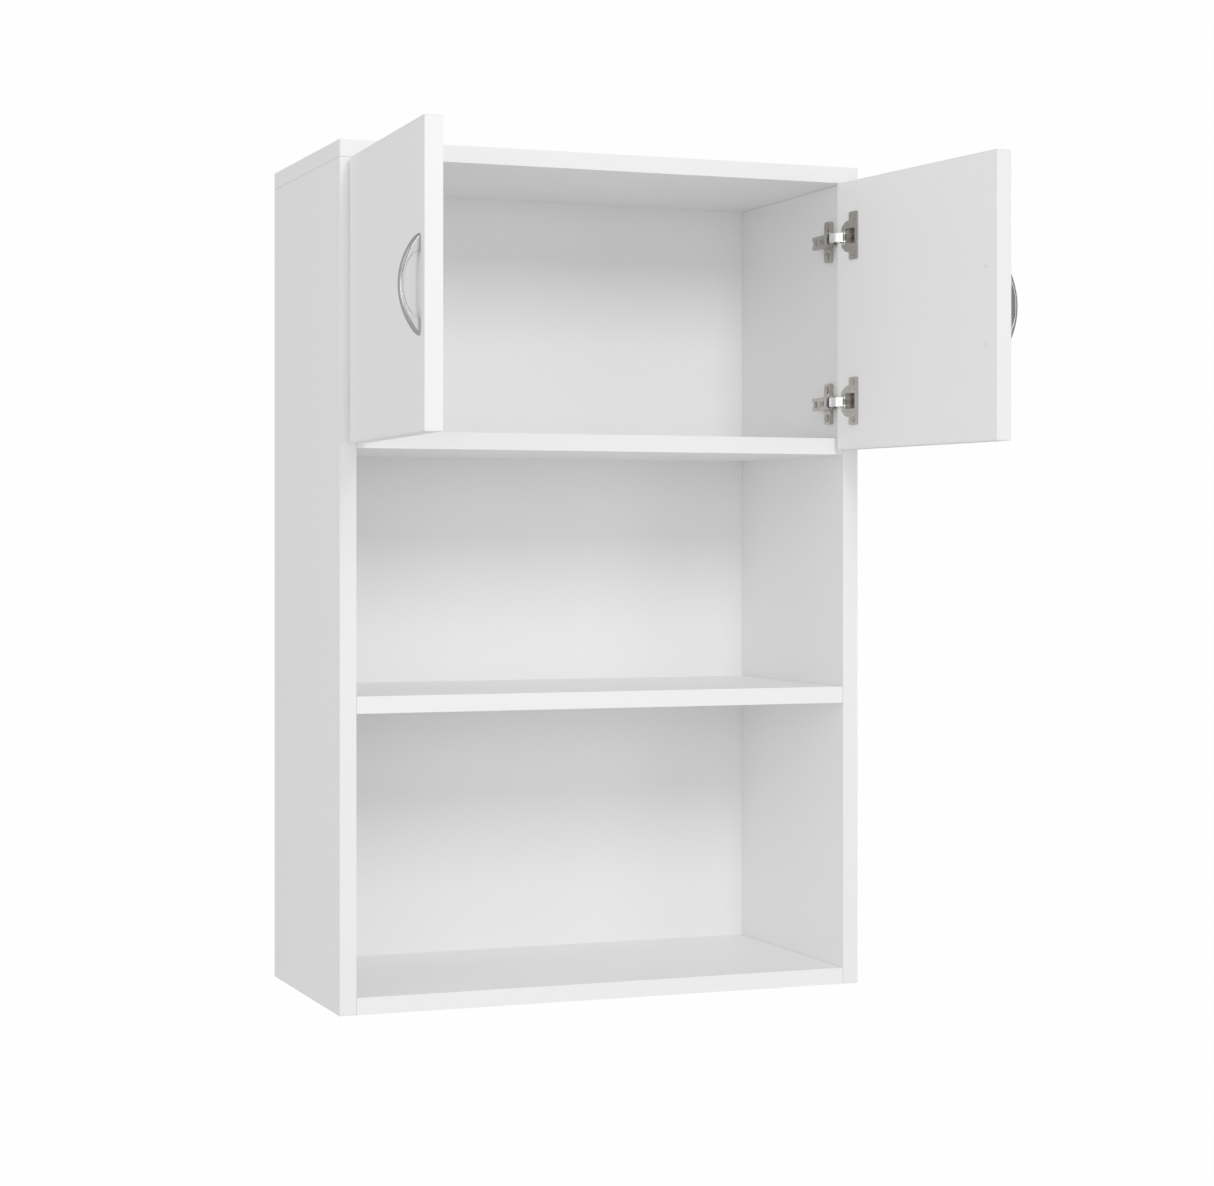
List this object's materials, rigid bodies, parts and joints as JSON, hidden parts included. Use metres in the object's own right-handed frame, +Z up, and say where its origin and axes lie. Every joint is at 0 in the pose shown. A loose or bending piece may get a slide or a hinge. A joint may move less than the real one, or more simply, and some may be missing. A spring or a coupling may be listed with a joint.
{
  "type": "hanging wall cabinet",
  "caption": "White hanging wall cabinet with paired doors on concealed hinges above open shelves, arched bow handles and keyhole plates for the wall.",
  "frame": {"origin": "in the wall plane, at the middle of the cabinet's lower rear edge", "axes": "+X to the right as the front is seen, +Y out of the back into the wall, +Z up"},
  "size_m": [0.6658, 0.5843, 0.9158],
  "materials": {
    "melamine": "white melamine facing on particle board, satin",
    "hardboard": "thin hardboard, white inside and raw brown behind",
    "zinc": "zinc-plated steel",
    "beech": "plain beech",
    "caps": "white plastic",
    "nickel": "nickel-plated steel",
    "bright_steel": "bright-plated steel",
    "satin_nickel": "satin nickel"
  },
  "bodies": {
    "carcass": {"top_panel": "melamine", "left_side_panel": "melamine", "right_side_panel": "melamine", "bottom_panel": "melamine", "middle_shelf": "melamine", "lower_shelf": "melamine", "back_panel": "hardboard", "back_panel_nails": "zinc", "board_dowels": "beech", "cam_bolts": "zinc", "cam_locks": "zinc", "confirmat_screws": "zinc", "screw_caps": "caps", "left_hanging_plate": "zinc", "right_hanging_plate": "zinc", "hanging_plate_screws": "zinc", "left_upper_mounting_plate": "nickel", "left_upper_hinge_arm": "nickel", "left_lower_mounting_plate": "nickel", "left_lower_hinge_arm": "nickel", "right_upper_mounting_plate": "nickel", "right_upper_hinge_arm": "nickel", "right_lower_mounting_plate": "nickel", "right_lower_hinge_arm": "nickel", "mounting_plate_screws": "nickel", "arm_fixing_screws": "nickel", "arm_depth_screws": "nickel", "arm_pins": "bright_steel"},
    "left_hinge_links": {"left_upper_hinge_link": "bright_steel", "left_lower_hinge_link": "bright_steel"},
    "left_door": {"left_door": "melamine", "left_upper_hinge_cup": "nickel", "left_lower_hinge_cup": "nickel", "left_cup_screws": "nickel", "left_cup_pins": "bright_steel", "left_closing_springs": "bright_steel", "left_handle": "satin_nickel", "left_handle_screws": "nickel"},
    "right_hinge_links": {"right_upper_hinge_link": "bright_steel", "right_lower_hinge_link": "bright_steel"},
    "right_door": {"right_door": "melamine", "right_upper_hinge_cup": "nickel", "right_lower_hinge_cup": "nickel", "right_cup_screws": "nickel", "right_cup_pins": "bright_steel", "right_closing_springs": "bright_steel", "right_handle": "satin_nickel", "right_handle_screws": "nickel"}
  },
  "joints": [
    {"name": "left_link_swing", "type": "hinge", "parent": "carcass", "child": "left_hinge_links", "pos_m": [-0.2689, -0.2773, 0.7425], "axis": [0, 0, -1], "range_deg": [-6.71, 47.4]},
    {"name": "left_door_swing", "type": "hinge", "parent": "left_hinge_links", "child": "left_door", "pos_m": [-0.27629, -0.297, 0.7425], "axis": [0, 0, -1], "range_deg": [-139.39, 19.7]},
    {"name": "right_link_swing", "type": "hinge", "parent": "carcass", "child": "right_hinge_links", "pos_m": [0.2689, -0.2773, 0.7425], "axis": [0, 0, 1], "range_deg": [-4.13, 49.98]},
    {"name": "right_door_swing", "type": "hinge", "parent": "right_hinge_links", "child": "right_door", "pos_m": [0.27539, -0.29731, 0.7425], "axis": [0, 0, 1], "range_deg": [-146.97, 12.12]}
  ],
  "couplings": [
    {"joint": "left_link_swing", "follows": "left_door_swing", "ratio": -0.34},
    {"joint": "right_link_swing", "follows": "right_door_swing", "ratio": -0.34}
  ]
}
